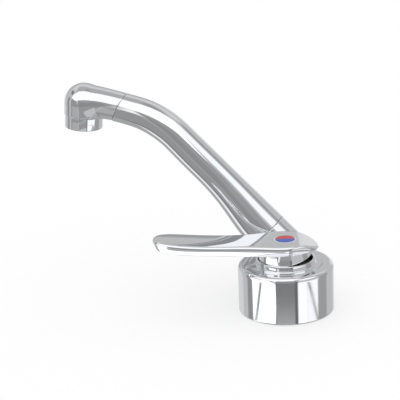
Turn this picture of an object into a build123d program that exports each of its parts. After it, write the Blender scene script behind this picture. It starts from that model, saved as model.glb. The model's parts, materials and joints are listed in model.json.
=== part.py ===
"""Single-lever mixer tap with a swivelling spout beside its lever.

The origin is on the deck, on the axis of the round body. The lever points along -X, +Z is up.
Everything is in millimetres. The shell and the spout swivel on the valve body, the lever turns
for temperature and lifts for flow, and the ceramic disc slides as the lever lifts.
The sizes run from the cartridge outwards and upwards: each piece adds its own wall or clearance.
"""

from build123d import *
from math import atan2, cos, degrees, radians, sin, sqrt
import os

os.makedirs("parts", exist_ok=True)

# Fits
running = 0.05          # radial clearance of a running fit
seating = 0.2           # room beside or above a piece that is pushed or screwed home
loose = 0.3             # clearance between pieces that must not touch
joint_gap = 0.4         # open gap beside the swivelling shell

# Ceramic discs and their carrier
disc_radius = 10.2
disc_height = 2.8
slider_room = 3.3       # the sliding disc's way to the housing's wall
slider_height = 2.6
carrier_height = 2.2
chamber_length = 8.2    # hollow under the sliding disc that joins the ports
chamber_width = 3.8
chamber_depth = 1.3
port_radius = 2.4
port_circle = 7.5       # outlet port from the axis, and each inlet port from the lever's line
port_back = 4.0         # inlet ports behind the axis
port_shift = 2.5        # the fixed disc's ports lie this much nearer to the axis
port_seal_width = 1.0
port_seal_height = 0.4

# Cartridge housing
disc_room = 0.5
housing_wall = 2.0
housing_floor = 1.4
housing_roof = 1.9
flange_width = 2.1
flange_height = 1.5
flange_rise = 7.6       # flange above the housing's bottom

# Turning core, pin and stem
turn_height = 5.4
turn_bearing = 1.7      # the housing's wall round the turning core, beyond the disc's bore
turn_step = 1.4
slot_wall = 2.1
pivot_rise = 3.0        # pivot pin above the valve body
pivot_cover = 2.0       # the turning core above the pin's axis
pivot_radius = 1.5
pin_inset = 0.4
stem_width = 6.4
stem_neck_width = 4.8
stem_neck_gap = 2.0     # the stem's neck above the carrier
stem_block_drop = 3.0   # the stem's square block below the pin's axis
stem_rod_radius = 1.5
stem_ball_radius = 2.2
socket_room = 0.7       # the carrier's hole round the stem's ball
stem_proud = 0.3        # the stem in the lever's socket, above the hub's ceiling

# Valve body
inlet_radius = 4.5      # M10 x 1 tapping
inlet_depth = 8.0
inlet_floor = 1.0
inlet_angle = 114.0     # on each side of the outlet's direction
inlet_wall = 0.65
stud_radius = 3.4       # M8 tapping
stud_floor = 2.0
stud_wall = 1.1
flange_room = 1.2       # the nut's thread round the flange
core_wall = 3.2
groove_depth = 1.8      # water groove round the valve body
groove_height = 5.0
groove_cover = 1.5      # groove below the flange's seat
channel_floor = 5.5     # channel from the outlet port to the groove
channel_wall = 1.6
seal_section = 0.8
seal_spacing = 4.5      # ring seals from the groove and from the valve body's top
gasket_edge = 1.2
gasket_width = 3.0
gasket_height = 1.2

# Retaining nut
nut_collar = 0.6
nut_notch = 3.0
nut_notch_depth = 1.0
nut_notches = 6

# Shell of the round body
sleeve_wall = 2.55
pocket_width = 2.6      # hollow in the shell's wall
outer_wall = 2.6
body_rise = 1.4         # shell's top above the valve body
body_rim_round = 2.4
pocket_roof = 5.4
pocket_arc = 220.0
deck_lift = 0.3         # the shell's lower edge stays this far above the deck
glide_cover = 1.6       # the shell's edge outside the glide ring
glide_height = 1.6

# Cover ring round the lever's hub
ring_cover = 1.0        # the ring's flange beyond the valve body
ring_flange_width = 3.4
ring_wall = 1.4
ring_height = 4.6
ring_flange_bevel = 0.4
ring_rim_bevel = 0.5

# Lever: its plan outline on the near side, then its side view as (along, above the pivot)
lever_outline = (
    (18.6, 0.0),
    (16.4, 7.2),
    (9.6, 12.4),
    (0.0, 15.0),
    (-10.0, 13.8),
    (-20.0, 11.9),
    (-32.0, 11.1),
    (-52.0, 11.2),
    (-62.0, 10.6),
    (-68.6, 8.4),
    (-72.9, 4.4),
    (-74.4, 0.0),
)
lever_rise = 12.3       # flat top of the hub above the pivot
lever_blade_top = ((-76.6, 16.6), (-66.0, 15.2), (-47.0, 13.3), (-30.0, 12.5))
lever_flat = (-14.0, 7.0)
lever_rear = ((13.5, 10.7), (19.6, 7.6))
lever_under = (
    (19.6, 6.9),
    (0.0, 6.3),
    (-20.0, 6.0),
    (-40.0, 7.2),
    (-59.0, 9.2),
    (-76.6, 11.6),
)
lever_half_width = 20.0
lever_edge_round = 1.6
lever_foot_bevel = 0.6
bowl_gap = 0.7          # cover ring round the ball-shaped bowl
bowl_wall = 1.8         # at the hub's ceiling
bowl_lip = 4.0          # the bowl's slanted lower edge on the axis, above the valve body
bowl_slant = 11.0
bowl_root = 1.0         # the bowl reaches this far into the lever
hub_rise = 7.0          # ceiling of the hub's hollow above the pivot
boss_radius = 5.4
boss_height = 3.0
cap_radius = 6.5
cap_height = 1.7
mark_rim = 0.9          # the cap's edge round the two marks
mark_height = 0.6
mark_proud = 0.1
mark_split = 0.1
screw_radius = 2.0
screw_reach = 6.0       # the screw's shank below its head
screw_head = 3.4
screw_head_height = 1.8
key_radius = 1.7
key_depth = 1.2

# Spout, drawn in its own upright plane beside the body
spout_yaw = 17.0        # turned away from the lever's line
spout_stand = 3.0       # its plane outside the round body
seam_along = 9.0        # where the foot's seam meets the spout's back
seam_rise = 16.1        # above the round body
run_angle = 44.2
run_length = 76.8
bend_radius = 62.0
top_angle = 13.5
# Distance along the spout's back, and the radius there
spout_sections = (
    (0.0, 12.4),
    (9.0, 12.3),
    (17.0, 11.7),
    (25.5, 10.85),
    (34.0, 10.15),
    (44.0, 9.7),
    (60.0, 9.6),
    (76.8, 9.45),
    (88.0, 9.4),
    (99.0, 9.25),
    (110.0, 9.0),
    (120.0, 8.95),
    (127.0, 9.2),
    (133.8, 9.95),
    (138.8, 11.1),
    (142.3, 12.05),
)
spout_wall = 1.7
head_radius = 12.1
foot_length = 21.0
spigot_inset = 3.2      # spigot inside the foot's radius
spigot_length = 8.0
spigot_wall = 1.4
spigot_seal_height = 1.8
spigot_seal_room = 0.2
seam_web = 2.0          # thickness of the step between spigot and tube
waterway_radius = 3.4
head_drop = 7.2
head_section = 11       # the section at the head's seam, counted from the foot's
seam_slant = 28.0
outlet_tilt = 5.5

# Aerator
aerator_thread = 9.6
aerator_thread_length = 5.0
aerator_step = 1.6
aerator_length = 7.6
aerator_wall = 1.5
socket_relief = 2.0     # the head's socket above the outlet's axis point
insert_height = 4.0
insert_recess = 1.0
insert_hole = 0.8
insert_circle = 5.6     # outer ring of holes
insert_holes = 12
insert_inner_circle = 2.8
insert_inner_holes = 6
washer_height = 1.6
washer_width = 2.4

# Heights that follow, from the deck upwards
cavity_floor = inlet_depth + inlet_floor
stud_depth = cavity_floor - stud_floor
housing_bottom = cavity_floor + port_seal_height
disc_bottom = housing_bottom + housing_floor
slider_bottom = disc_bottom + disc_height
carrier_bottom = slider_bottom + slider_height
carrier_top = carrier_bottom + carrier_height
turn_bottom = carrier_top + seating
turn_shoulder = turn_bottom + turn_height
housing_top = turn_shoulder + loose + housing_roof
core_height = housing_top - seating
nut_seat = housing_bottom + flange_rise
groove_high = nut_seat - groove_cover
groove_low = groove_high - groove_height
seal_heights = (groove_low - seal_spacing, core_height - seal_spacing)
body_height = core_height + body_rise
ledge_height = core_height - joint_gap
pivot_height = core_height + pivot_rise
turn_top = pivot_height + pivot_cover
ball_height = carrier_bottom + seating + stem_ball_radius
hub_ceiling = pivot_height + hub_rise
stem_top = hub_ceiling + stem_proud
lever_top = pivot_height + lever_rise
cap_seat = lever_top - cap_height
screw_seat = cap_seat - seating - screw_head_height
screw_bottom = screw_seat - screw_reach

# Radii that follow, from the discs outwards
slider_radius = disc_radius + disc_room - slider_room
housing_bore = disc_radius + disc_room
housing_radius = housing_bore + housing_wall
turn_radius = housing_bore - turn_bearing
turn_neck = turn_radius - turn_step
slot_length = 2 * (turn_neck - slot_wall)
cavity_radius = housing_radius + seating
flange_radius = housing_radius + flange_width
nut_thread = flange_radius + flange_room
core_radius = nut_thread + core_wall
groove_floor = core_radius - groove_depth
gasket_outer = core_radius - gasket_edge
gasket_inner = gasket_outer - gasket_width
inlet_circle = gasket_inner - inlet_wall - inlet_radius
stud_circle = gasket_inner - stud_wall - stud_radius
bore_radius = core_radius + running
pocket_inner = bore_radius + sleeve_wall
pocket_outer = pocket_inner + pocket_width
body_radius = pocket_outer + outer_wall
glide_inner = core_radius + joint_gap
glide_outer = body_radius - glide_cover
ring_flange = core_radius + ring_cover
ring_outer = ring_flange - ring_flange_width
ring_inner = ring_outer - ring_wall
opening_radius = ring_flange + joint_gap
bowl_radius = ring_inner - bowl_gap
hub_cavity = sqrt(bowl_radius**2 - hub_rise**2) - bowl_wall
mark_radius = cap_radius - mark_rim
foot_radius = spout_sections[0][1]
spigot_radius = foot_radius - spigot_inset
aerator_radius = aerator_thread + aerator_step
seam_back = (seam_along, body_height + seam_rise)

inlet_ports = ((-port_back, port_circle), (-port_back, -port_circle))
outlet_port = (port_circle, 0)


def upright(points):
    """Face with an outline of (radius, height) points, ready to be turned about the axis."""
    with BuildSketch(Plane.XZ) as outline:
        with BuildLine():
            Polyline(*points, close=True)
        make_face()
    return outline.sketch


def band(inner, outer, low, high):
    """Rectangular outline of a plain ring."""
    return upright([(inner, low), (outer, low), (outer, high), (inner, high)])


# The spout's plane: its x runs outwards along the spout, its y is up
yaw = radians(spout_yaw)
spout_plane = Plane(
    origin=(sin(yaw) * (body_radius + spout_stand), cos(yaw) * (body_radius + spout_stand), 0),
    x_dir=(-cos(yaw), sin(yaw), 0),
    z_dir=(sin(yaw), cos(yaw), 0),
)


def in_spout(along, up):
    """Point of the spout's plane in the body's frame."""
    return spout_plane.from_local_coords(Vector(along, up, 0))


def spout_section(along, up, slope):
    """Plane across the spout at a point of its plane, facing along the slope."""
    face = spout_plane.x_dir * cos(radians(slope)) + spout_plane.y_dir * sin(radians(slope))
    return Plane(origin=in_spout(along, up), x_dir=spout_plane.z_dir, z_dir=face)


def back_point(distance):
    """Point and slope of the spout's back: a straight run, a bend and a flatter run."""
    start = radians(run_angle)
    turn = radians(run_angle - top_angle)
    bend_length = bend_radius * turn
    straight = min(distance, run_length)
    along = seam_back[0] + straight * cos(start)
    up = seam_back[1] + straight * sin(start)
    slope = start
    if distance > run_length:
        slope = start - min(distance - run_length, bend_length) / bend_radius
        along += bend_radius * (sin(start) - sin(slope))
        up += bend_radius * (cos(slope) - cos(start))
    rest = max(distance - run_length - bend_length, 0)
    along += rest * cos(slope)
    up += rest * sin(slope)
    return along, up, degrees(slope)


def middle_point(distance, radius):
    """Centre of the round section whose top lies on the spout's back."""
    along, up, slope = back_point(distance)
    return along + radius * sin(radians(slope)), up - radius * cos(radians(slope)), slope


def spout_skin(inset):
    """Solid of the spout's round sections, made smaller by the inset; only the outside is smooth."""
    with BuildPart() as skin:
        for distance, radius in spout_sections:
            with BuildSketch(spout_section(*middle_point(distance, radius))):
                Circle(radius - inset)
        loft(ruled=inset > 0)
    return skin.part


seam_middle = middle_point(0, foot_radius)
foot_axis = spout_section(*seam_middle)
ball_along = seam_middle[0] - foot_length * cos(radians(run_angle))
ball_up = seam_middle[1] - foot_length * sin(radians(run_angle))
ball_point = in_spout(ball_along, ball_up)
foot_plane = spout_section(ball_along, ball_up, run_angle)
head_middle = middle_point(*spout_sections[-1])
head_point = in_spout(head_middle[0], head_middle[1])
outlet_down = spout_plane.x_dir * sin(radians(outlet_tilt)) - spout_plane.y_dir * cos(radians(outlet_tilt))
outlet_plane = Plane(origin=head_point, x_dir=spout_plane.z_dir, z_dir=outlet_down)
lip_plane = outlet_plane.offset(head_drop)
cut_middle = middle_point(*spout_sections[head_section])
head_cut = spout_section(cut_middle[0], cut_middle[1], seam_slant)
waterway_end = Vector(ball_point.X, ball_point.Y, 0).normalized() * (core_radius - loose)
waterway_end += Vector(0, 0, (groove_low + groove_high) / 2)
waterway_plane = Plane(origin=ball_point, z_dir=waterway_end - ball_point)
waterway_length = (waterway_end - ball_point).length
foot_azimuth = degrees(atan2(ball_point.Y, ball_point.X))
pocket_azimuth = foot_azimuth + 180 - pocket_arc / 2
pocket_start = Vector(1, 0, 0).rotate(Axis.Z, pocket_azimuth)
pocket_face = Vector(0, -1, 0).rotate(Axis.Z, pocket_azimuth)
pocket_top = body_height - pocket_roof

# Hollow in the shell's wall, on the side away from the foot
with BuildPart() as shell_pocket:
    with BuildSketch(Plane(origin=(0, 0, 0), x_dir=pocket_start, z_dir=pocket_face)):
        with Locations(((pocket_inner + pocket_outer) / 2, (glide_height + pocket_top) / 2)):
            Rectangle(pocket_width, pocket_top - glide_height)
    revolve(axis=Axis.Z, revolution_arc=pocket_arc)

# Shell of the round body, cast in one with the spout's foot
with BuildPart() as body_shell:
    revolve(upright([
        (bore_radius, glide_height),
        (glide_outer + running, glide_height),
        (glide_outer + running, deck_lift),
        (body_radius, deck_lift),
        (body_radius, body_height),
        (opening_radius, body_height),
        (opening_radius, ledge_height),
        (bore_radius, ledge_height),
    ]), axis=Axis.Z)
    top_edges = body_shell.edges().filter_by(GeomType.CIRCLE).group_by(Axis.Z)[-1]
    fillet(top_edges.sort_by(SortBy.RADIUS)[-1], body_rim_round)
    with BuildSketch(foot_plane):
        Circle(foot_radius)
    extrude(amount=foot_length)
    with Locations(ball_point):
        Sphere(foot_radius)
    with BuildSketch(foot_plane):
        Circle(spigot_radius + running)
    extrude(amount=foot_length, mode=Mode.SUBTRACT)
    with BuildSketch(waterway_plane):
        Circle(waterway_radius)
    extrude(amount=waterway_length, mode=Mode.SUBTRACT)
    revolve(band(0, bore_radius, 0, ledge_height), axis=Axis.Z, mode=Mode.SUBTRACT)
    revolve(band(0, opening_radius, ledge_height, core_height + body_rise + loose), axis=Axis.Z,
            mode=Mode.SUBTRACT)
    revolve(band(0, ring_outer + loose, core_height, core_height + ring_height + loose), axis=Axis.Z,
            mode=Mode.SUBTRACT)
    add(shell_pocket.part, mode=Mode.SUBTRACT)
body_shell.part.label = "body_shell"
export_step(body_shell.part, "parts/body_shell.step")

# Nylon ring under the shell
with BuildPart() as glide_ring:
    revolve(band(glide_inner, glide_outer, 0, glide_height), axis=Axis.Z)
glide_ring.part.label = "glide_ring"
export_step(glide_ring.part, "parts/glide_ring.step")

# Brass valve body that is bolted to the deck. The mixed water leaves its cavity through a channel beside
# the cartridge, into the groove that faces the turning shell
channel_end = groove_floor - channel_wall - port_radius
with BuildPart() as valve_body:
    revolve(band(0, core_radius, 0, core_height), axis=Axis.Z)
    revolve(band(0, cavity_radius, cavity_floor, core_height), axis=Axis.Z, mode=Mode.SUBTRACT)
    revolve(band(0, nut_thread, nut_seat, core_height), axis=Axis.Z, mode=Mode.SUBTRACT)
    revolve(band(groove_floor, core_radius + running, groove_low, groove_high), axis=Axis.Z,
            mode=Mode.SUBTRACT)
    for height in seal_heights:
        revolve(band(core_radius - 2 * seal_section, core_radius + running, height - seal_section,
                     height + seal_section), axis=Axis.Z, mode=Mode.SUBTRACT)
    revolve(band(gasket_inner, gasket_outer, 0, gasket_height), axis=Axis.Z, mode=Mode.SUBTRACT)
    with BuildSketch(Plane.XY):
        with PolarLocations(inlet_circle, 2, start_angle=-inlet_angle, angular_range=2 * inlet_angle,
                            endpoint=True):
            Circle(inlet_radius)
    extrude(amount=inlet_depth, mode=Mode.SUBTRACT)
    with BuildSketch(Plane.XY):
        with Locations(*inlet_ports):
            Circle(port_radius)
    extrude(amount=cavity_floor, mode=Mode.SUBTRACT)
    with BuildSketch(Plane.XY):
        with Locations((-stud_circle, 0)):
            Circle(stud_radius)
    extrude(amount=stud_depth, mode=Mode.SUBTRACT)
    with BuildSketch(Plane.XY.offset(channel_floor)):
        with Locations(((port_circle + channel_end) / 2, 0)):
            SlotCenterToCenter(channel_end - port_circle, 2 * port_radius)
    extrude(amount=groove_high - channel_floor, mode=Mode.SUBTRACT)
    with BuildSketch(Plane.YZ.offset(cavity_radius)):
        with Locations((0, (groove_low + groove_high) / 2)):
            Circle(port_radius)
    extrude(amount=core_wall + flange_width + flange_room, mode=Mode.SUBTRACT)
valve_body.part.label = "valve_body"
export_step(valve_body.part, "parts/valve_body.step")

# Rubber seals between the valve body and the turning shell
with BuildPart() as swivel_seals:
    for height in seal_heights:
        revolve(band(core_radius - 2 * seal_section + running, core_radius, height - seal_section + running,
                     height + seal_section - running), axis=Axis.Z)
swivel_seals.part.label = "swivel_seals"
export_step(swivel_seals.part, "parts/swivel_seals.step")

# Rubber gasket in the underside
with BuildPart() as deck_gasket:
    revolve(band(gasket_inner + running, gasket_outer - running, 0, gasket_height), axis=Axis.Z)
deck_gasket.part.label = "deck_gasket"
export_step(deck_gasket.part, "parts/deck_gasket.step")

# Chromed cover ring round the lever's hub
with BuildPart() as cover_ring:
    revolve(upright([
        (ring_inner, core_height),
        (ring_flange, core_height),
        (ring_flange, core_height + body_rise),
        (ring_outer, core_height + body_rise),
        (ring_outer, core_height + ring_height),
        (ring_inner, core_height + ring_height),
    ]), axis=Axis.Z)
    rim_edges = cover_ring.edges().filter_by(GeomType.CIRCLE)
    chamfer(rim_edges.group_by(Axis.Z)[-1], ring_rim_bevel)
    chamfer(rim_edges.group_by(Axis.Z)[1].sort_by(SortBy.RADIUS)[-1], ring_flange_bevel)
cover_ring.part.label = "cover_ring"
export_step(cover_ring.part, "parts/cover_ring.step")

# Cartridge housing with a flange that the nut clamps
with BuildPart() as cartridge_housing:
    revolve(upright([
        (0, housing_bottom),
        (housing_radius, housing_bottom),
        (housing_radius, nut_seat),
        (flange_radius, nut_seat),
        (flange_radius, nut_seat + flange_height),
        (housing_radius, nut_seat + flange_height),
        (housing_radius, housing_top),
        (turn_neck + loose, housing_top),
        (turn_neck + loose, turn_shoulder + loose),
        (turn_radius + running, turn_shoulder + loose),
        (turn_radius + running, turn_bottom),
        (housing_bore, turn_bottom),
        (housing_bore, disc_bottom),
        (0, disc_bottom),
    ]), axis=Axis.Z)
    with BuildSketch(Plane.XY.offset(housing_bottom)):
        with Locations(*inlet_ports, outlet_port):
            Circle(port_radius)
    extrude(amount=housing_floor, mode=Mode.SUBTRACT)
cartridge_housing.part.label = "cartridge_housing"
export_step(cartridge_housing.part, "parts/cartridge_housing.step")

# Three small seals under the cartridge's ports
with BuildPart() as port_seals:
    with BuildSketch(Plane.XY.offset(cavity_floor)):
        with Locations(*inlet_ports, outlet_port):
            Circle(port_radius + port_seal_width)
            Circle(port_radius, mode=Mode.SUBTRACT)
    extrude(amount=port_seal_height)
port_seals.part.label = "port_seals"
export_step(port_seals.part, "parts/port_seals.step")

# Fixed ceramic disc with its three ports
disc_port = port_circle - port_shift
with BuildPart() as fixed_disc:
    revolve(band(0, disc_radius, disc_bottom, slider_bottom), axis=Axis.Z)
    with BuildSketch(Plane.XY.offset(disc_bottom)):
        with Locations((-port_back, disc_port), (-port_back, -disc_port), (disc_port, 0)):
            Circle(port_radius)
    extrude(amount=disc_height, mode=Mode.SUBTRACT)
fixed_disc.part.label = "fixed_disc"
export_step(fixed_disc.part, "parts/fixed_disc.step")

# Sliding ceramic disc, hollowed underneath to join the ports
with BuildPart() as sliding_disc:
    revolve(band(0, slider_radius, slider_bottom, carrier_bottom), axis=Axis.Z)
    with BuildSketch(Plane.XY.offset(slider_bottom)):
        SlotOverall(chamber_length, chamber_width)
    extrude(amount=chamber_depth, mode=Mode.SUBTRACT)
sliding_disc.part.label = "sliding_disc"
export_step(sliding_disc.part, "parts/sliding_disc.step")

# Carrier that the stem's ball pushes to and fro
with BuildPart() as disc_carrier:
    revolve(band(0, slider_radius, carrier_bottom, carrier_top), axis=Axis.Z)
    with BuildSketch(Plane.XY.offset(carrier_bottom)):
        Circle(stem_ball_radius + socket_room)
    extrude(amount=carrier_height, mode=Mode.SUBTRACT)
disc_carrier.part.label = "disc_carrier"
export_step(disc_carrier.part, "parts/disc_carrier.step")

# Turning core, slotted for the stem
with BuildPart() as turning_core:
    revolve(upright([
        (0, turn_bottom + loose),
        (turn_radius, turn_bottom + loose),
        (turn_radius, turn_shoulder),
        (turn_neck, turn_shoulder),
        (turn_neck, turn_top),
        (0, turn_top),
    ]), axis=Axis.Z)
    with BuildSketch(Plane.XY.offset(turn_bottom)):
        Rectangle(slot_length, stem_width + joint_gap)
    extrude(amount=turn_top - turn_bottom, mode=Mode.SUBTRACT)
    with BuildSketch(Plane.XZ):
        with Locations((0, pivot_height)):
            Circle(pivot_radius + running)
    extrude(amount=turn_neck, both=True, mode=Mode.SUBTRACT)
turning_core.part.label = "turning_core"
export_step(turning_core.part, "parts/turning_core.step")

# Steel pin on which the stem rocks
with BuildPart() as pivot_pin:
    with BuildSketch(Plane.XZ):
        with Locations((0, pivot_height)):
            Circle(pivot_radius)
    extrude(amount=turn_neck - pin_inset, both=True)
pivot_pin.part.label = "pivot_pin"
export_step(pivot_pin.part, "parts/pivot_pin.step")

# Stem with its ball end below and a square head above
with BuildPart() as stem:
    neck_bottom = carrier_top + stem_neck_gap
    block_bottom = pivot_height - stem_block_drop
    with BuildSketch(Plane.XY.offset(neck_bottom)):
        Rectangle(stem_neck_width, stem_width)
    extrude(amount=block_bottom - neck_bottom)
    with BuildSketch(Plane.XY.offset(block_bottom)):
        Rectangle(stem_width, stem_width)
    extrude(amount=stem_top - block_bottom)
    with BuildSketch(Plane.XY.offset(ball_height)):
        Circle(stem_rod_radius)
    extrude(amount=neck_bottom - ball_height)
    with Locations((0, 0, ball_height)):
        Sphere(stem_ball_radius)
    with BuildSketch(Plane.XZ):
        with Locations((0, pivot_height)):
            Circle(pivot_radius + running)
    extrude(amount=stem_width, both=True, mode=Mode.SUBTRACT)
    with BuildSketch(Plane.XY.offset(screw_bottom - joint_gap)):
        Circle(screw_radius + running)
    extrude(amount=stem_top, mode=Mode.SUBTRACT)
stem.part.label = "stem"
export_step(stem.part, "parts/stem.step")

# Nut that clamps the cartridge
with BuildPart() as retaining_nut:
    nut_bottom = nut_seat + flange_height
    nut_shoulder = core_height - seating
    nut_top = core_height + nut_collar
    revolve(upright([
        (cavity_radius, nut_bottom),
        (nut_thread - running, nut_bottom),
        (nut_thread - running, nut_shoulder),
        (ring_inner - loose, nut_shoulder),
        (ring_inner - loose, nut_top),
        (cavity_radius, nut_top),
    ]), axis=Axis.Z)
    with BuildSketch(Plane.XY.offset(nut_top - nut_collar - nut_notch_depth)):
        with PolarLocations(cavity_radius, nut_notches):
            Rectangle(nut_notch, nut_notch)
    extrude(amount=nut_collar + nut_notch_depth, mode=Mode.SUBTRACT)
retaining_nut.part.label = "retaining_nut"
export_step(retaining_nut.part, "parts/retaining_nut.step")

# Lever handle: plan outline cut by its side view, with the bowl under its hub
lever_side = Plane(origin=(0, 0, pivot_height), x_dir=(1, 0, 0), z_dir=(0, -1, 0))
slant_plane = Plane(
    origin=(0, 0, core_height + bowl_lip),
    x_dir=(cos(radians(bowl_slant)), 0, sin(radians(bowl_slant))),
    z_dir=(-sin(radians(bowl_slant)), 0, cos(radians(bowl_slant))),
)
with BuildPart() as lever_bowl:
    with Locations((0, 0, pivot_height)):
        Sphere(bowl_radius)
    split(bisect_by=slant_plane, keep=Keep.TOP)
    split(bisect_by=Plane.XY.offset(hub_ceiling + bowl_root), keep=Keep.BOTTOM)
    revolve(band(0, hub_cavity, core_height, hub_ceiling), axis=Axis.Z, mode=Mode.SUBTRACT)
    revolve(band(0, boss_radius, hub_ceiling - boss_height, hub_ceiling), axis=Axis.Z)

with BuildPart() as lever_handle:
    with BuildSketch(Plane.XY.offset(pivot_height)):
        with BuildLine():
            far_side = [(x, -y) for x, y in reversed(lever_outline[1:-1])]
            Spline(*lever_outline, *far_side, periodic=True)
        make_face()
    extrude(amount=2 * lever_rise)
    with BuildSketch(lever_side):
        with BuildLine():
            Spline(*lever_blade_top, (lever_flat[0], lever_rise), tangents=((1, -0.1), (1, 0)))
            Line((lever_flat[0], lever_rise), (lever_flat[1], lever_rise))
            Spline((lever_flat[1], lever_rise), *lever_rear, tangents=((1, 0), (1, -0.7)))
            Line(lever_rear[-1], lever_under[0])
            Spline(*lever_under)
            Line(lever_under[-1], lever_blade_top[0])
        make_face()
    extrude(amount=lever_half_width, both=True, mode=Mode.INTERSECT)
    outline_edges = lever_handle.edges().filter_by(lambda edge: edge.bounding_box().size.Y > loose)
    rim = outline_edges.filter_by(lambda edge: edge.bounding_box().size.X > joint_gap)
    fillet(rim.filter_by(lambda edge: edge.bounding_box().max.Z > lever_top - loose), lever_edge_round)
    outline_edges = lever_handle.edges().filter_by(lambda edge: edge.bounding_box().size.Y > loose)
    under_height = pivot_height + lever_under[0][1]
    foot_rim = outline_edges.filter_by(lambda edge: edge.bounding_box().min.Z < under_height + loose)
    chamfer(foot_rim, lever_foot_bevel)
    revolve(band(0, hub_cavity, pivot_height, hub_ceiling), axis=Axis.Z, mode=Mode.SUBTRACT)
    add(lever_bowl.part)
    with BuildSketch(Plane.XY.offset(core_height)):
        Rectangle(stem_width + 2 * running, stem_width + 2 * running)
    extrude(amount=stem_top + seating - core_height, mode=Mode.SUBTRACT)
    with BuildSketch(Plane.XY.offset(core_height)):
        Circle(screw_radius + running)
    extrude(amount=lever_top - core_height, mode=Mode.SUBTRACT)
    with BuildSketch(Plane.XY.offset(screw_seat)):
        Circle(screw_head + running)
    extrude(amount=lever_top - screw_seat, mode=Mode.SUBTRACT)
    with BuildSketch(Plane.XY.offset(cap_seat)):
        Circle(cap_radius + running)
    extrude(amount=cap_height, mode=Mode.SUBTRACT)
lever_handle.part.label = "lever_handle"
export_step(lever_handle.part, "parts/lever_handle.step")

# Screw that holds the handle on the stem, under the cap
with BuildPart() as handle_screw:
    with BuildSketch(Plane.XY.offset(screw_bottom)):
        Circle(screw_radius)
    extrude(amount=screw_reach)
    with BuildSketch(Plane.XY.offset(screw_seat)):
        Circle(screw_head)
    extrude(amount=screw_head_height)
    with BuildSketch(Plane.XY.offset(screw_seat + screw_head_height - key_depth)):
        RegularPolygon(key_radius, 6)
    extrude(amount=key_depth, mode=Mode.SUBTRACT)
handle_screw.part.label = "handle_screw"
export_step(handle_screw.part, "parts/handle_screw.step")

# Pale cap over the screw, with a recess for the two colour marks
with BuildPart() as indicator_cap:
    revolve(band(0, cap_radius, cap_seat, lever_top), axis=Axis.Z)
    with BuildSketch(Plane.XY.offset(lever_top - mark_height)):
        Circle(mark_radius + running)
    extrude(amount=mark_height, mode=Mode.SUBTRACT)
indicator_cap.part.label = "indicator_cap"
export_step(indicator_cap.part, "parts/indicator_cap.step")


def half_mark(side):
    """Half disc on one side of the lever's middle line."""
    with BuildSketch(Plane.XY.offset(lever_top - mark_height)) as half:
        Circle(mark_radius)
        with Locations((0, side * (mark_radius + mark_split / 2))):
            Rectangle(2 * mark_radius, 2 * mark_radius, mode=Mode.INTERSECT)
    return half.sketch


for mark_name, mark_side in (("hot_mark", 1), ("cold_mark", -1)):
    with BuildPart() as mark:
        extrude(half_mark(mark_side), amount=mark_height + mark_proud)
    mark.part.label = mark_name
    export_step(mark.part, f"parts/{mark_name}.step")

# Inside of the spout, from just above the foot's seam
with BuildPart() as spout_bore:
    add(spout_skin(spout_wall))
    split(bisect_by=foot_axis.offset(seam_web), keep=Keep.TOP)

# Middle length of the spout, with a spigot that plugs into the foot
with BuildPart() as spout_tube:
    add(spout_skin(0))
    split(bisect_by=head_cut, keep=Keep.BOTTOM)
    with BuildSketch(foot_axis.offset(-spigot_length)):
        Circle(spigot_radius)
    extrude(amount=spigot_length)
    add(spout_bore.part, mode=Mode.SUBTRACT)
    with BuildSketch(foot_axis.offset(-spigot_length)):
        Circle(spigot_radius - spigot_wall)
    extrude(amount=spigot_length + 2 * seam_web, mode=Mode.SUBTRACT)
spout_tube.part.label = "spout_tube"
export_step(spout_tube.part, "parts/spout_tube.step")

# Head of the spout: domed end with the outlet's socket
dome_face = outlet_down.cross(spout_plane.z_dir)
with BuildPart() as spout_head:
    add(spout_skin(0))
    split(bisect_by=head_cut, keep=Keep.TOP)
    with BuildSketch(Plane(origin=head_point, x_dir=spout_plane.z_dir, z_dir=dome_face)):
        with BuildLine():
            CenterArc((0, 0), head_radius, 0, 90)
            Polyline((0, head_radius), (0, -head_drop), (head_radius, -head_drop), (head_radius, 0))
        make_face()
    revolve(axis=Axis(head_point, outlet_down))
    split(bisect_by=lip_plane, keep=Keep.BOTTOM)
    with BuildSketch(outlet_plane.offset(-socket_relief)):
        Circle(aerator_thread + running)
    extrude(amount=head_drop + socket_relief, mode=Mode.SUBTRACT)
    add(spout_skin(spout_wall), mode=Mode.SUBTRACT)
spout_head.part.label = "spout_head"
export_step(spout_head.part, "parts/spout_head.step")

# Ring seal round the spigot
with BuildPart() as spigot_seal:
    with BuildSketch(foot_axis.offset(-spigot_length - spigot_seal_height)):
        Circle(spigot_radius - spigot_seal_room)
        Circle(spigot_radius - spigot_wall, mode=Mode.SUBTRACT)
    extrude(amount=spigot_seal_height)
spigot_seal.part.label = "spigot_seal"
export_step(spigot_seal.part, "parts/spigot_seal.step")

# Aerator: housing, insert with its holes, and washer
with BuildPart() as aerator_housing:
    with BuildSketch(lip_plane):
        Circle(aerator_radius)
    extrude(amount=aerator_length)
    with BuildSketch(lip_plane.offset(-aerator_thread_length)):
        Circle(aerator_thread)
    extrude(amount=aerator_thread_length)
    with BuildSketch(lip_plane.offset(-aerator_thread_length)):
        Circle(aerator_thread - aerator_wall)
    extrude(amount=aerator_thread_length + aerator_length, mode=Mode.SUBTRACT)
aerator_housing.part.label = "aerator_housing"
export_step(aerator_housing.part, "parts/aerator_housing.step")

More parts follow.
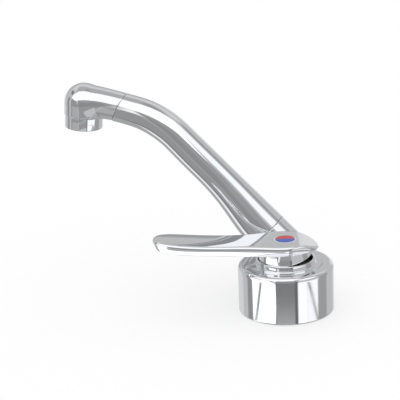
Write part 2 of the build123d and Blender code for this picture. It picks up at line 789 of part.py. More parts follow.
with BuildPart() as aerator_insert:
    with BuildSketch(lip_plane.offset(aerator_length - insert_height - insert_recess)):
        Circle(aerator_thread - aerator_wall - running)
        with PolarLocations(insert_circle, insert_holes):
            Circle(insert_hole, mode=Mode.SUBTRACT)
        with PolarLocations(insert_inner_circle, insert_inner_holes):
            Circle(insert_hole, mode=Mode.SUBTRACT)
        Circle(insert_hole, mode=Mode.SUBTRACT)
    extrude(amount=insert_height)
aerator_insert.part.label = "aerator_insert"
export_step(aerator_insert.part, "parts/aerator_insert.step")

with BuildPart() as aerator_washer:
    with BuildSketch(lip_plane.offset(-aerator_thread_length - washer_height)):
        Circle(aerator_thread - running)
        Circle(aerator_thread - washer_width, mode=Mode.SUBTRACT)
    extrude(amount=washer_height)
aerator_washer.part.label = "aerator_washer"
export_step(aerator_washer.part, "parts/aerator_washer.step")

print("base radius", body_radius, "body height", body_height, "valve body", core_radius, core_height)
print("stem's crank", pivot_height - ball_height, "head centre", head_point, "outlet", lip_plane.origin)
inlet_place = Vector(inlet_circle, 0, 0).rotate(Axis.Z, inlet_angle)
print("inlets", inlet_place.X, inlet_place.Y, "stud", -stud_circle)
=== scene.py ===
"""Looks of a single-lever mixer tap: chromed body, spout and lever, and its small plastic and rubber parts.

Lengths are written in millimetres and turned into metres where a mesh is made.
The origin is on the deck under the body's centre, the lever points along -X and +Z is up.
"""

import json
from math import cos, pi, radians, sin, tan

import bmesh
import bpy
import numpy as np
from mathutils import Matrix, Quaternion, Vector


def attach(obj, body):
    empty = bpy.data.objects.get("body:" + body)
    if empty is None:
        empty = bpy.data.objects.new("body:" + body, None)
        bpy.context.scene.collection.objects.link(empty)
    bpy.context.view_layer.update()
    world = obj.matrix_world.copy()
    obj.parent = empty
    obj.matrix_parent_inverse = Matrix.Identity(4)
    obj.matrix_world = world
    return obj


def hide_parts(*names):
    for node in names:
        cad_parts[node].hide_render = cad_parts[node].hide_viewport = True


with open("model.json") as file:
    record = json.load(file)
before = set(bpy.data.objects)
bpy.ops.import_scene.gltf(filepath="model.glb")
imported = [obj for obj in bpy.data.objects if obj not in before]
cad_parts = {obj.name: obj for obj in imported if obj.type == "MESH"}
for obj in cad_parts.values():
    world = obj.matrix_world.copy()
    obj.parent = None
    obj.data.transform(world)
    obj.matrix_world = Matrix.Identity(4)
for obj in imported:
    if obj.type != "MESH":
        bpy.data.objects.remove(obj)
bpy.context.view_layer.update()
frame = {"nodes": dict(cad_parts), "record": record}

MM = 0.001

# The photograph's camera
FOCAL_PIXELS = 1393.6
PHOTO_PIXELS = 400
SENSOR = 36.0
CAMERA_ELEVATION = 18.01
CAMERA_TARGET = (-46.785, 0.0, 66.465)
CAMERA_DISTANCE = 774.8
CAMERA_ROLL = 2.416
CAMERA_NEAR = 0.01
CAMERA_FAR = 50.0

# Meshes: points round a turned piece and round the tube, how close points are merged in metres, and the
# least length that anything is divided by
ROUND_STEPS = 192
TUBE_STEPS = 128
WELD_DISTANCE = 1e-7
TINY = 1e-9

# Surfaces of fields: their points move onto the surface in a few passes, each by a stride of a grid step at
# most. The slope is read a short probe away to each side, and its square is at least that of a flat spot.
FIELD_PASSES = 4
FIELD_PROBE = 0.02
FIELD_STRIDE = 0.5
FIELD_FLAT = 0.05

# Round body
BODY_RADIUS = 27.0
BODY_HEIGHT = 27.4
BODY_BASE = 0.3
BODY_RIM = 2.4
BODY_MOUTH = 20.45
BODY_LEDGE = 25.6
BODY_BORE = 19.25
FOOT_BLEND = 2.5
SHELL_BOX = ((-28.5, -28.5, -0.7), (28.5, 47.5, 45.0))
SHELL_STEP = 0.5

# Cover ring, and the radii of its section's six corners
RING_INNER = 15.4
RING_OUTER = 16.8
RING_FLANGE = 20.4
RING_BOTTOM = 26.0
RING_STEP = 27.4
RING_TOP = 30.6
RING_CORNERS = (0, 0, 0.12, 0.6, 0.5, 0.5)

# Lever: plan outline on the near side, then the heights of its top and underside along it. Its rings shrink
# to a spine between two values of x, and its crown grows from the first value of x to the second.
LEVER_OUTLINE = (
    (18.6, 0.0),
    (16.4, 7.2),
    (9.6, 12.4),
    (0.0, 15.0),
    (-10.0, 13.8),
    (-20.0, 11.9),
    (-32.0, 11.1),
    (-52.0, 11.2),
    (-62.0, 10.7),
    (-69.0, 8.8),
    (-73.2, 4.9),
    (-74.4, 0.0),
)
LEVER_LEVEL = 41.3
LEVER_TOP = ((-76.6, 45.6), (-66.0, 44.2), (-47.0, 42.3), (-30.0, 41.5), (-14.0, 41.3))
LEVER_REAR = ((7.0, 41.3), (13.5, 39.7), (19.6, 36.6))
LEVER_SPINE = (-67.0, 4.0)
LEVER_CROWN = 0.5
LEVER_CROWN_FROM = (-14.0, -45.0)
LEVER_DRAFT = 20.0
LEVER_UNDER = ((-76.6, 39.6), (-59.0, 37.5), (-40.0, 36.2), (-20.0, 35.0), (0.0, 35.3), (19.6, 35.9))

# Radii of the lever's upper and lower edges, the share of its thickness that each takes at most, and the
# number of its points round the outline, across its faces and over its edges
LEVER_EDGE = 1.8
LEVER_FOOT_EDGE = 0.8
LEVER_EDGE_SHARE = 0.6
LEVER_FOOT_SHARE = 0.25
LEVER_AROUND = 480
LEVER_ACROSS = 16
LEVER_EDGE_STEPS = 8
LEVER_FOOT_STEPS = 4

# The lever's hub: a ball-shaped bowl about the pivot pin, open and cut at a slant below. Its lip's height is
# found in a few passes.
PIVOT_HEIGHT = 29.0
BOWL_RADIUS = 15.15
BOWL_CAVITY = 11.1
BOWL_CEILING = 36.0
BOWL_TOP = 37.0
BOWL_LIP = 30.0
BOWL_SLANT = 11.0
BOWL_LIP_EDGE = 0.5
BOWL_LIP_STEPS = 4
BOWL_LIP_PASSES = 6
BOWL_WALL_STEPS = 16

# Indicator cap and its mark, whose halves are sunk a little into the cap
CAP_RADIUS = 6.5
CAP_BOTTOM = 39.6
CAP_CREST = 41.5
CAP_EDGE = 0.3
CAP_DOME_FROM = 5.5
CAP_DOME_STEPS = 12
MARK_RADIUS = 5.6
MARK_SPLIT = 0.1
MARK_PROUD = 0.06
MARK_SUNK = 0.12

# Spout, in its own upright plane. Each section: distance along its back from the foot's seam, and its radius
SPOUT_YAW = 17.0
SPOUT_OFFSET = 30.0
SEAM_BACK = (9.0, 43.5)
RUN_ANGLE = 44.2
RUN_LENGTH = 76.8
BEND_RADIUS = 62.0
TOP_ANGLE = 13.5
SPOUT_SECTIONS = (
    (0.0, 12.4),
    (9.0, 12.3),
    (17.0, 11.7),
    (25.5, 10.85),
    (34.0, 10.15),
    (44.0, 9.7),
    (60.0, 9.6),
    (76.8, 9.45),
    (88.0, 9.4),
    (99.0, 9.25),
    (110.0, 9.0),
    (120.0, 8.95),
    (127.0, 9.2),
    (133.8, 9.95),
    (138.8, 11.1),
    (142.3, 12.05),
)
FOOT_RADIUS = 12.4
FOOT_LENGTH = 21.0
TUBE_RINGS = 180
TUBE_SPARE = 9.0

# Seams between foot, tube and head, and the dark necks at their bottom in painted shade, from and to along
# the spout's back
SEAM_AT = 120.0
SEAM_RADIUS = 8.95
SEAM_SLANT = 28.0
SEAM_GAP = 0.14
SEAM_DEPTH = 0.45
NECK_RINGS = 24
FOOT_NECK = (0.02, 3.0)
HEAD_NECK = (114.0, 126.0)

# Head and aerator
HEAD_RADIUS = 12.1
HEAD_DROP = 7.2
HEAD_WALL = 2.0
HEAD_TUCK = 0.4
HEAD_CROWN_BLEND = 0.5
HEAD_CORNER_BLEND = 4.0
HEAD_CORNER_LIFT = 0.3
HEAD_LIP_EDGE = 0.4
HEAD_SEAM_EDGE = 0.15
HEAD_REACH = 30.0
HEAD_BOX = ((-128, 48, 93), (-80, 82, 124))
HEAD_STEP = 0.4
SKIN_FROM = 112.0
SKIN_RINGS = 25
AERATOR_RADIUS = 11.2
AERATOR_BORE = 8.1
AERATOR_LENGTH = 7.6
AERATOR_THREAD = 9.6
AERATOR_THREAD_LENGTH = 5.0
AERATOR_GAP = 0.15
AERATOR_CORNERS = (0, 0.4, 0.5, 0.3, 0, 0)
OUTLET_TILT = 5.5

# Surface grain: its scale on metal and on plastic, its usual range, its relief in metres, and how much it
# shades plastic
METAL_GRAIN = 220.0
PLASTIC_GRAIN = 900.0
GRAIN_DETAIL = 3.0
GRAIN_RANGE = (0.3, 0.7)
GRAIN_RELIEF = 0.00005
GRAIN_SHADE = 0.92

# Sockets of a mix node: its two values and its result
MIX_SOCKETS = {"FLOAT": (2, 3, 0), "RGBA": (6, 7, 2)}

# Floor
FLOOR_HALF = 4000.0
FLOOR_ROUGHNESS = 0.8
FLOOR_LIGHTENED = 0.55

# Studio seen in gloss only. Azimuth -90 is towards the camera, 0 to its right, 180 to its left.
# Each panel: its azimuths from and to, its elevations from and to, its soft edge, all in degrees, and its
# brightness. A later panel covers those before it.
STUDIO_BASE = 0.56
STUDIO_PANELS = (
    ("low room", -181, 181, -95, -32, 10, 0.42),
    ("ceiling", -181, 181, 62, 95, 14, 0.46),
    ("dark ceiling on the right", -18, 55, 66, 86, 14, 0.34),
    ("rear wall's lower part", 60, 120, 2, 15, 7, 0.36),
    ("rear wall's middle", 70, 110, 19, 33, 6, 0.55),
    ("dark room on the left", -170, -121, -95, 30, 8, 0.33),
    ("dark post on the left", -176, -160, -56, -30, 4, 0.24),
    ("low window on the left", 158, 183, -52, -33, 6, 0.95),
    ("white strip on the left", -126, -110, 6, 44, 5, 1.1),
    ("doorway", -119, -67, -34, 60, 4, 0.36),
    ("doorway's middle", -119, -67, -14, 15, 8, 0.30),
    ("doorway's lower half", -119, -67, -34, -14, 4, 0.22),
    ("doorway's floor", -117, -72, -60, -22.8, 1.8, 0.46),
    ("doorway's right post", -73, -67, -34, 12, 3, 0.15),
    ("right wall", -65, -41, -32, -10, 4, 1.15),
    ("right wall's upper part", -56, -9, 30, 62, 7, 1.1),
    ("right wall's far half", -41, -12, -32, -10, 5, 1.12),
    ("right corner", -10, 20, -32, 22, 5, 0.37),
    ("rear window", 60, 80, -70, 20, 6, 0.78),
    ("rear post", 82, 90, -32, 4, 3, 0.30),
    ("rear wall", 92, 140, -28, 2, 5, 0.70),
    ("rear wall's upper part", 20, 160, 36, 58, 12, 0.70),
    ("rear left corner", 160, 176, -32, 20, 5, 0.30),
    ("ceiling's rail", 2, 27, 35, 46, 4, 0.36),
    ("ceiling's beam on the left", 146, 176, 33, 45, 5, 0.20),
)
# Leaning slat, which covers the panels: azimuth and elevation of its upper and its lower end, its width in
# azimuth, how far it reaches past its ends, its soft edge, and its brightness
SLAT_TOP = (-38, -21.5)
SLAT_FOOT = (-13, -23.0)
SLAT_WIDTH = 7
SLAT_REACH = 1.5
SLAT_SOFT = 3.0
SLAT_BRIGHTNESS = 0.32
STUDIO_TINT = (0.985, 0.995, 1.0)
DAYLIGHT = 1.0

# White panel overhead
OVERHEAD_BRIGHTNESS = 1.15
OVERHEAD_HEIGHT = 330.0
OVERHEAD_X = (-600.0, 100.0)
OVERHEAD_Y = (-360.0, 30.0)

# The left softbox has a slit, which shows as the thin leaning line at the left of the drum's front
LEFT_SOFTBOX_ENDS = (-300, 267)
LEFT_SLIT = (-122, -106)


def smooth_line(points, at):
    """Smooth curve through points of rising x, read at the given x values: a natural cubic spline."""
    x, y = np.array(points, float).T
    n = len(x)
    h = np.diff(x)
    matrix = np.eye(n)
    slope = np.zeros(n)
    for i in range(1, n - 1):
        matrix[i, i - 1:i + 2] = h[i - 1], 2 * (h[i - 1] + h[i]), h[i]
        slope[i] = 6 * ((y[i + 1] - y[i]) / h[i] - (y[i] - y[i - 1]) / h[i - 1])
    bend = np.linalg.solve(matrix, slope)
    at = np.asarray(at, float)
    i = np.clip(np.searchsorted(x, at) - 1, 0, n - 2)
    left = at - x[i]
    right = x[i + 1] - at
    return ((bend[i] * right ** 3 + bend[i + 1] * left ** 3) / (6 * h[i])
            + (y[i] / h[i] - bend[i] * h[i] / 6) * right
            + (y[i + 1] / h[i] - bend[i + 1] * h[i] / 6) * left)


def smooth_step(share):
    """Share that leaves 0 and reaches 1 gently."""
    return share * share * (3 - 2 * share)


def closed_curve(points, count):
    """Points of a smooth closed curve through the given points, evenly spaced in its parameter."""
    p = np.array(points, float)
    chord = np.hypot(*(np.roll(p, -1, 0) - p).T)
    knots = np.r_[0, np.cumsum(chord)]
    # Points repeated before and after the curve, so that it closes without a kink
    wrap = 4
    t = np.r_[knots[-1 - wrap:-1] - knots[-1], knots[:-1], knots[:wrap] + knots[-1]]
    q = np.r_[p[-wrap:], p, p[:wrap]]
    at = np.linspace(0, knots[-1], count, endpoint=False)
    return np.stack([smooth_line(np.stack([t, q[:, i]], 1), at) for i in range(2)], 1)


def make_object(name, points, faces, smooth=True):
    """Mesh object from points in millimetres."""
    mesh = bpy.data.meshes.new(name)
    mesh.from_pydata([tuple(p) for p in np.asarray(points, float) * MM], [], [tuple(f) for f in faces])
    mesh.update()
    if smooth:
        mesh.polygons.foreach_set("use_smooth", [True] * len(mesh.polygons))
    piece = bpy.data.objects.new(name, mesh)
    bpy.context.scene.collection.objects.link(piece)
    return piece


def flat_sheet(name, across, along, height):
    """Level sheet between two values of x and two of y."""
    corners = [(across[i], along[j], height) for i, j in ((0, 0), (1, 0), (1, 1), (0, 1))]
    return make_object(name, corners, [(0, 1, 2, 3)], smooth=False)


def ring_faces(rows, count, closed=False, flipped=False):
    """Four-cornered faces between successive rings of count points each."""
    faces = []
    for i in range(rows if closed else rows - 1):
        a = i * count
        b = (i + 1) % rows * count
        for j in range(count):
            k = (j + 1) % count
            face = (a + j, a + k, b + k, b + j)
            faces.append(face[:1] + face[:0:-1] if flipped else face)
    return faces


def welded(piece):
    """Merges a mesh's points that lie together and turns its faces outward."""
    work = bmesh.new()
    work.from_mesh(piece.data)
    bmesh.ops.remove_doubles(work, verts=work.verts, dist=WELD_DISTANCE)
    bmesh.ops.recalc_face_normals(work, faces=work.faces)
    work.to_mesh(piece.data)
    work.free()
    return piece


def turned(name, profile):
    """Closed solid of revolution from a closed outline of (radius, height) points."""
    angle = np.linspace(0, 2 * pi, ROUND_STEPS, endpoint=False)
    rings = [np.stack([radius * np.cos(angle), radius * np.sin(angle), np.full(ROUND_STEPS, height)], 1)
             for radius, height in profile]
    return make_object(name, np.concatenate(rings), ring_faces(len(rings), ROUND_STEPS, closed=True))


def rounded_outline(points, radii, steps=6):
    """Outline with each corner replaced by an arc of its radius."""
    result = []
    count = len(points)
    for i, (corner, radius) in enumerate(zip(points, radii)):
        corner = np.array(corner, float)
        if radius == 0:
            result.append(tuple(corner))
            continue
        back = np.array(points[i - 1], float) - corner
        ahead = np.array(points[(i + 1) % count], float) - corner
        back /= np.linalg.norm(back)
        ahead /= np.linalg.norm(ahead)
        half = np.arccos(np.clip(back @ ahead, -1, 1)) / 2
        reach = radius / tan(half)
        start = corner + back * reach
        end = corner + ahead * reach
        middle = (back + ahead) / np.linalg.norm(back + ahead)
        centre = corner + middle * radius / sin(half)
        first = start - centre
        last = end - centre
        turn = np.arccos(np.clip(first @ last / radius ** 2, -1, 1))
        for step in range(steps + 1):
            share = step / steps
            spoke = (first * sin((1 - share) * turn) + last * sin(share * turn)) / sin(turn)
            result.append(tuple(centre + spoke))
    return result


def neighbours(grid, axis):
    """A grid's values without the last layer along an axis, and without the first."""
    near = [slice(None)] * 3
    far = [slice(None)] * 3
    near[axis] = slice(0, -1)
    far[axis] = slice(1, None)
    return grid[tuple(near)], grid[tuple(far)]


def cells_around(index, axis):
    """The four cells that share each of the given edges along an axis, in turning order."""
    for back_first, back_second in ((0, 0), (1, 0), (1, 1), (0, 1)):
        cell = index.copy()
        cell[:, (axis + 1) % 3] -= back_first
        cell[:, (axis + 2) % 3] -= back_second
        yield tuple(cell.T)


def settled(points, field, step):
    """Points moved onto the surface where a field is zero."""
    for _ in range(FIELD_PASSES):
        here = field(points)
        slope = np.stack([
            (field(points + FIELD_PROBE * axis) - field(points - FIELD_PROBE * axis)) / (2 * FIELD_PROBE)
            for axis in np.eye(3)
        ], 1)
        move = -here[:, None] * slope / np.maximum((slope ** 2).sum(1), FIELD_FLAT)[:, None]
        length = np.linalg.norm(move, axis=1)
        move *= np.minimum(1, FIELD_STRIDE * step / np.maximum(length, TINY))[:, None]
        points = points + move
    return points


def field_surface(name, field, box, step):
    """Closed mesh where a distance field is zero: one point in each grid cell that the surface crosses."""
    low, high = np.array(box, float)
    size = np.ceil((high - low) / step).astype(int) + 1
    axes = [low[i] + step * np.arange(size[i]) for i in range(3)]
    grid = np.stack(np.meshgrid(*axes, indexing="ij"), -1)
    value = field(grid.reshape(-1, 3)).reshape(size)
    total = np.zeros((*(size - 1), 3))
    number = np.zeros(size - 1)
    crossings = []
    for axis in range(3):
        a, b = neighbours(value, axis)
        crossed = (a < 0) != (b < 0)
        index = np.argwhere(crossed)
        crossings.append((axis, index, a[crossed] < 0))
        place = low + index * step
        place[:, axis] += a[crossed] / (a[crossed] - b[crossed]) * step
        for cell in cells_around(index, axis):
            spot = np.ravel_multi_index(cell, number.shape)
            number += np.bincount(spot, minlength=number.size).reshape(number.shape)
            for i in range(3):
                total[..., i] += np.bincount(spot, place[:, i], number.size).reshape(number.shape)
    active = number > 0
    label = np.full(number.shape, -1)
    label[active] = np.arange(active.sum())
    faces = []
    for axis, index, starts_inside in crossings:
        quad = np.stack([label[cell] for cell in cells_around(index, axis)], 1)
        quad[~starts_inside] = quad[~starts_inside][:, ::-1]
        faces.append(quad)
    points = settled(total[active] / number[active][:, None], field, step)
    return make_object(name, points, np.concatenate(faces)[:, ::-1].tolist())


def both(a, b, radius=0.0):
    """Part of a field that lies in both fields, with a rounded edge."""
    if np.isscalar(radius) and radius == 0:
        return np.maximum(a, b)
    return (np.minimum(np.maximum(a, b), -radius)
            + np.hypot(np.maximum(a + radius, 0), np.maximum(b + radius, 0)))


def either(a, b, radius=0.0):
    """Union of two fields, with a rounded inner corner."""
    return -both(-a, -b, radius)


def rod(points, start, end, radius):
    """Distance to a round rod with ball ends."""
    start = np.array(start, float)
    way = np.array(end, float) - start
    share = np.clip((points - start) @ way / (way @ way), 0, 1)
    return np.linalg.norm(points - start - share[:, None] * way, axis=1) - radius


def endless_rod(points, start, way, radius):
    """Distance to a round rod without ends."""
    way = np.array(way, float) / np.linalg.norm(way)
    out = points - start
    return np.linalg.norm(out - (out @ way)[:, None] * way, axis=1) - radius


def side_of(points, origin, normal):
    """Distance beyond a plane, negative before it."""
    return (points - origin) @ (np.array(normal, float) / np.linalg.norm(normal))


# The spout's plane
yaw = radians(SPOUT_YAW)
PLANE_OUT = np.array([-cos(yaw), sin(yaw), 0.0])
PLANE_SIDE = np.array([sin(yaw), cos(yaw), 0.0])
PLANE_ORIGIN = PLANE_SIDE * SPOUT_OFFSET
UP = np.array([0.0, 0.0, 1.0])


def in_spout(along, up):
    """Point of the spout's plane."""
    return PLANE_ORIGIN + PLANE_OUT * along + UP * up


def back_point(distance):
    """Point and slope of the spout's back at a distance from its foot's seam."""
    start = radians(RUN_ANGLE)
    turn = radians(RUN_ANGLE - TOP_ANGLE)
    bend = BEND_RADIUS * turn
    straight = min(distance, RUN_LENGTH)
    along = SEAM_BACK[0] + straight * cos(start)
    up = SEAM_BACK[1] + straight * sin(start)
    slope = start
    if distance > RUN_LENGTH:
        slope = start - min(distance - RUN_LENGTH, bend) / BEND_RADIUS
        along += BEND_RADIUS * (sin(start) - sin(slope))
        up += BEND_RADIUS * (cos(slope) - cos(start))
    rest = max(distance - RUN_LENGTH - bend, 0)
    return along + rest * cos(slope), up + rest * sin(slope), slope


def middle_point(distance, radius):
    """Point and slope of the spout's middle line, one radius below its back."""
    along, up, slope = back_point(distance)
    return along + radius * sin(slope), up - radius * cos(slope), slope


foot_along, foot_up, foot_slope = middle_point(0, FOOT_RADIUS)
foot_seam = in_spout(foot_along, foot_up)
run_way = PLANE_OUT * cos(foot_slope) + UP * sin(foot_slope)
foot_ball = foot_seam - run_way * FOOT_LENGTH
head_along, head_up, _ = middle_point(*SPOUT_SECTIONS[-1])
head_centre = in_spout(head_along, head_up)
outlet_way = PLANE_OUT * sin(radians(OUTLET_TILT)) - UP * cos(radians(OUTLET_TILT))
lip_point = head_centre + outlet_way * HEAD_DROP
cut_along, cut_up, _ = middle_point(SEAM_AT, SEAM_RADIUS)
cut_point = in_spout(cut_along, cut_up)
cut_normal = PLANE_OUT * cos(radians(SEAM_SLANT)) + UP * sin(radians(SEAM_SLANT))


# Materials


def new_material(name):
    """Material with its tree and its main shader."""
    material = bpy.data.materials.new(name)
    material.use_nodes = True
    tree = material.node_tree
    return material, tree, tree.nodes["Principled BSDF"]


def feed(tree, socket, value):
    """Links another node's output to an input, or sets the input to a plain value."""
    if isinstance(value, bpy.types.NodeSocket):
        tree.links.new(value, socket)
    else:
        socket.default_value = value


def add_node(tree, kind, **values):
    """Node whose inputs and settings get the given values by name."""
    node = tree.nodes.new(kind)
    for key, value in values.items():
        if key in node.inputs:
            feed(tree, node.inputs[key], value)
        else:
            setattr(node, key, value)
    return node


def math_node(tree, operation, *values):
    """Result of a math node whose inputs are numbers or other nodes' outputs."""
    node = add_node(tree, "ShaderNodeMath", operation=operation)
    for socket, value in zip(node.inputs, values):
        feed(tree, socket, value)
    return node.outputs[0]


def mixed(tree, kind, share, first, second):
    """The first number or colour where the share is 0, the second where it is 1."""
    node = add_node(tree, "ShaderNodeMix", data_type=kind)
    low, high, result = MIX_SOCKETS[kind]
    feed(tree, node.inputs[0], share)
    feed(tree, node.inputs[low], first)
    feed(tree, node.inputs[high], second)
    return node.outputs[result]


def remapped(tree, source, given, wanted, kind="LINEAR"):
    """A value mapped from one range to another and held at its ends."""
    node = add_node(tree, "ShaderNodeMapRange", interpolation_type=kind, Value=source)
    for label, number in zip(("From Min", "From Max", "To Min", "To Max"), (*given, *wanted)):
        node.inputs[label].default_value = number
    return node.outputs["Result"]


def surface_grain(tree, scale):
    """Noise that is fixed to the piece."""
    place = add_node(tree, "ShaderNodeTexCoord")
    noise = add_node(tree, "ShaderNodeTexNoise", Scale=scale, Detail=GRAIN_DETAIL)
    tree.links.new(place.outputs["Object"], noise.inputs["Vector"])
    return noise.outputs["Fac"]


def add_relief(tree, shader, height, strength):
    """Bumps the shader's surface by a height."""
    relief = add_node(tree, "ShaderNodeBump", Strength=strength, Distance=GRAIN_RELIEF, Height=height)
    tree.links.new(relief.outputs["Normal"], shader.inputs["Normal"])


def metal(name, colour, roughness, relief=0.0):
    """Metal whose roughness varies a little over the surface, as wiped and handled metal does."""
    material, tree, shader = new_material(name)
    shader.inputs["Metallic"].default_value = 1.0
    shader.inputs["Base Color"].default_value = (*colour, 1.0)
    grain = surface_grain(tree, METAL_GRAIN)
    tree.links.new(remapped(tree, grain, GRAIN_RANGE, roughness), shader.inputs["Roughness"])
    if relief:
        add_relief(tree, shader, grain, relief)
    return material


def plastic(name, colour, roughness, relief=0.1):
    """Plastic or rubber whose shade, roughness and relief vary a little."""
    material, tree, shader = new_material(name)
    grain = surface_grain(tree, PLASTIC_GRAIN)
    shaded = (*[GRAIN_SHADE * c for c in colour], 1.0)
    tree.links.new(mixed(tree, "RGBA", grain, shaded, (*colour, 1.0)), shader.inputs["Base Color"])
    tree.links.new(remapped(tree, grain, GRAIN_RANGE, roughness), shader.inputs["Roughness"])
    add_relief(tree, shader, grain, relief)
    return material


chrome = metal("chrome", (0.86, 0.87, 0.89), (0.035, 0.065))
brass = metal("brass_machined", (0.78, 0.60, 0.30), (0.22, 0.34), relief=0.2)
steel = metal("steel_turned", (0.60, 0.61, 0.63), (0.2, 0.3), relief=0.2)
nylon = plastic("nylon_pale", (0.82, 0.82, 0.79), (0.4, 0.55))
aerator_grey = plastic("aerator_plastic", (0.55, 0.56, 0.58), (0.35, 0.5))
ceramic = plastic("ceramic_white", (0.86, 0.85, 0.80), (0.12, 0.2))
rubber = plastic("rubber_black", (0.03, 0.03, 0.032), (0.5, 0.65), relief=0.3)
# Painted shade: a dark colour for the bottom of the seams, where shade falls
seam_painted_shade = plastic("seam_shadow", (0.08, 0.08, 0.085), (0.6, 0.75))
# Painted shade: the retaining nut's brass made dark to stand for the shade in the gap at the hub
painted_shade_brass = metal("brass_painted_shade", (0.16, 0.13, 0.10), (0.4, 0.55))
# Painted shade: the cartridge's inner pieces made black to stand for the shade in the gap at the hub
cartridge_painted_shade = plastic("cartridge_painted_shade", (0.035, 0.035, 0.04), (0.45, 0.6))
cap_plastic = plastic("cap_pale", (0.74, 0.75, 0.78), (0.1, 0.16))
red = plastic("mark_red", (0.60, 0.045, 0.04), (0.12, 0.2))
blue = plastic("mark_blue", (0.05, 0.11, 0.50), (0.12, 0.2))

SLOT_MATERIALS = {
    "chrome_plate": chrome,
    "brass": brass,
    "steel": steel,
    "stem_metal": brass,
    "nylon": nylon,
    "ceramic": ceramic,
    "seal_rubber": rubber,
    "cap_plastic": cap_plastic,
    "red_plastic": red,
    "blue_plastic": blue,
}

# Inner pieces made darker: painted shade on the pieces in the gap at the hub, and a darker grey on the
# aerator insert in the outlet
DARK_NODES = {
    "aerator_insert": aerator_grey,
    "turning_core": cartridge_painted_shade,
    "cartridge_housing": cartridge_painted_shade,
    "disc_carrier": cartridge_painted_shade,
    "retaining_nut": painted_shade_brass,
}


def dress(piece, material, slot, body, *replaced):
    """Gives a new piece its material, puts it on its body and hides the nodes it stands for. Its slot is not
    used.
    """
    piece.data.materials.append(material)
    if replaced:
        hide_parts(*replaced)
    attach(piece, body)
    return piece


for part in frame["record"]["subparts"]:
    node = frame["nodes"][part["node"]]
    node.data.materials.clear()
    node.data.materials.append(DARK_NODES.get(part["node"], SLOT_MATERIALS[part["material_slot"]]))


# Body shell and foot


def shell_field(points):
    """Distance to the drum with the spout's foot, its mouth and its bore."""
    radius = np.hypot(points[:, 0], points[:, 1])
    height = points[:, 2]
    drum = both(radius - BODY_RADIUS, height - BODY_HEIGHT, BODY_RIM)
    foot = rod(points, foot_seam + run_way * FOOT_RADIUS, foot_ball, FOOT_RADIUS)
    foot = both(foot, side_of(points, foot_seam, run_way))
    whole = either(drum, foot, FOOT_BLEND)
    whole = both(whole, BODY_BASE - height)
    mouth = both(radius - BODY_MOUTH, BODY_LEDGE - height)
    whole = both(whole, -mouth)
    return both(whole, -(radius - BODY_BORE))


shell = field_surface("shell", shell_field, SHELL_BOX, SHELL_STEP)
dress(shell, chrome, "chrome_plate", "spout", "body_shell")

ring = turned("ring", rounded_outline(
    [(RING_INNER, RING_BOTTOM), (RING_FLANGE, RING_BOTTOM),
     (RING_FLANGE, RING_STEP), (RING_OUTER, RING_STEP),
     (RING_OUTER, RING_TOP), (RING_INNER, RING_TOP)],
    RING_CORNERS,
))
dress(ring, chrome, "chrome_plate", "base", "cover_ring")


# Lever


def lever_top(x):
    """Height of the lever's top along it: rising towards the tip, flat at the hub, falling to the nose."""
    x = np.asarray(x, float)
    blade = smooth_line(LEVER_TOP, np.clip(x, LEVER_TOP[0][0], LEVER_TOP[-1][0]))
    rear = smooth_line(LEVER_REAR, np.clip(x, LEVER_REAR[0][0], LEVER_REAR[-1][0]))
    return np.where(x < LEVER_TOP[-1][0], blade, np.where(x > LEVER_REAR[0][0], rear, LEVER_LEVEL))


def lever_under(x):
    """Height of the lever's underside along it."""
    return smooth_line(LEVER_UNDER, np.clip(x, LEVER_UNDER[0][0], LEVER_UNDER[-1][0]))


def lever_mesh():
    """Lever from rings that follow its outline: underside, foot's edge, wall, upper edge and crowned top."""
    far_side = tuple((x, -y) for x, y in reversed(LEVER_OUTLINE[1:-1]))
    edge = closed_curve(LEVER_OUTLINE + far_side, LEVER_AROUND)
    ahead = np.roll(edge, -1, 0) - np.roll(edge, 1, 0)
    ahead /= np.linalg.norm(ahead, axis=1)[:, None]
    inward = np.stack([-ahead[:, 1], ahead[:, 0]], 1)
    if (inward * edge).sum() > 0:
        inward = -inward
    spine = np.stack([np.clip(edge[:, 0], *LEVER_SPINE), np.zeros(LEVER_AROUND)], 1)
    thickness = lever_top(edge[:, 0]) - lever_under(edge[:, 0])
    top_edge = np.minimum(LEVER_EDGE, LEVER_EDGE_SHARE * thickness)
    foot_edge = np.minimum(LEVER_FOOT_EDGE, LEVER_FOOT_SHARE * thickness)
    foot = edge + inward * ((thickness - top_edge) * tan(radians(LEVER_DRAFT)))[:, None]
    rings = []
    for share in np.linspace(0, 1, LEVER_ACROSS + 1)[:-1]:
        flat = spine + share * (foot + inward * foot_edge[:, None] - spine)
        rings.append(np.c_[flat, lever_under(flat[:, 0])])
    for angle in np.linspace(0, pi / 2, LEVER_FOOT_STEPS + 1):
        flat = foot + inward * foot_edge[:, None] * (1 - sin(angle))
        rings.append(np.c_[flat, lever_under(flat[:, 0]) + foot_edge * (1 - cos(angle))])
    for angle in np.linspace(0, pi / 2, LEVER_EDGE_STEPS + 1):
        flat = edge + inward * top_edge[:, None] * (1 - cos(angle))
        rings.append(np.c_[flat, lever_top(flat[:, 0]) - top_edge * (1 - sin(angle))])
    begin, full = LEVER_CROWN_FROM
    for share in np.linspace(1, 0, LEVER_ACROSS + 1)[1:]:
        flat = spine + share * (edge + inward * top_edge[:, None] - spine)
        crown = LEVER_CROWN * smooth_step(np.clip((flat[:, 0] - begin) / (full - begin), 0, 1))
        rings.append(np.c_[flat, lever_top(flat[:, 0]) + crown * (1 - share ** 2)])
    return welded(make_object("lever_shape", np.concatenate(rings), ring_faces(len(rings), LEVER_AROUND)))


lever = lever_mesh()
dress(lever, chrome, "chrome_plate", "lever", "lever_handle")


